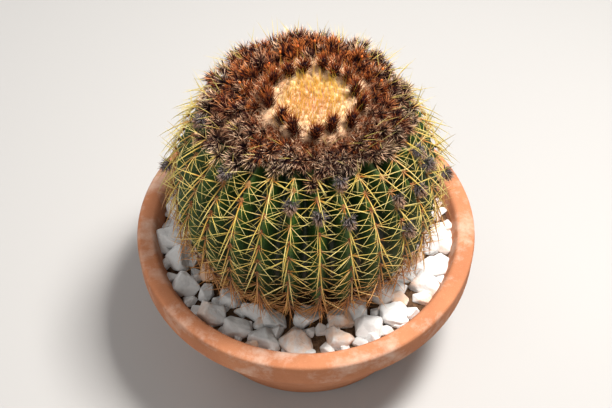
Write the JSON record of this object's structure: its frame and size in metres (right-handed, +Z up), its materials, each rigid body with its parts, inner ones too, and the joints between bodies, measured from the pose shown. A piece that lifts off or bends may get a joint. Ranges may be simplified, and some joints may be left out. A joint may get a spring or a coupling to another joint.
{
  "type": "potted golden barrel cactus",
  "caption": "Round ribbed barrel cactus with golden spines and a woolly crown ringed by dried flowers, in a plain clay pot dressed with crushed white stone.",
  "frame": {"origin": "middle of the underside of the pot, on the surface it stands on", "axes": "+Z up along the axis of the pot and the plant; -Y faces the camera, +X to its right"},
  "size_m": [0.43, 0.43, 0.427],
  "materials": {
    "clay": "matte",
    "soil": "matte",
    "stone": "matte",
    "cactus_skin": "satin",
    "spine": "satin",
    "wool": "matte",
    "dried_flower": "matte",
    "bud": "satin",
    "withered_flower": "matte"
  },
  "bodies": {
    "root": {"pot": "clay", "soil": "soil", "stone_dressing": "stone", "cactus_body": "cactus_skin", "crown_wool": "wool", "flower_thatch": "dried_flower", "bud_tuft_01": "bud", "bud_tuft_02": "bud", "bud_tuft_03": "bud", "bud_tuft_04": "bud", "bud_tuft_05": "bud", "bud_tuft_06": "bud", "bud_tuft_07": "bud", "bud_tuft_08": "bud", "bud_tuft_09": "bud", "bud_tuft_10": "bud", "bud_tuft_11": "bud", "bud_tuft_12": "bud", "bud_tuft_13": "bud", "bud_tuft_14": "bud", "bud_tuft_15": "bud", "dried_flower_01": "withered_flower", "dried_flower_02": "withered_flower", "dried_flower_03": "withered_flower", "dried_flower_04": "withered_flower", "dried_flower_05": "withered_flower", "dried_flower_06": "withered_flower", "dried_flower_07": "withered_flower", "dried_flower_08": "withered_flower", "dried_flower_09": "withered_flower", "dried_flower_10": "withered_flower", "dried_flower_11": "withered_flower", "dried_flower_12": "withered_flower", "dried_flower_13": "withered_flower"}
  },
  "joints": []
}
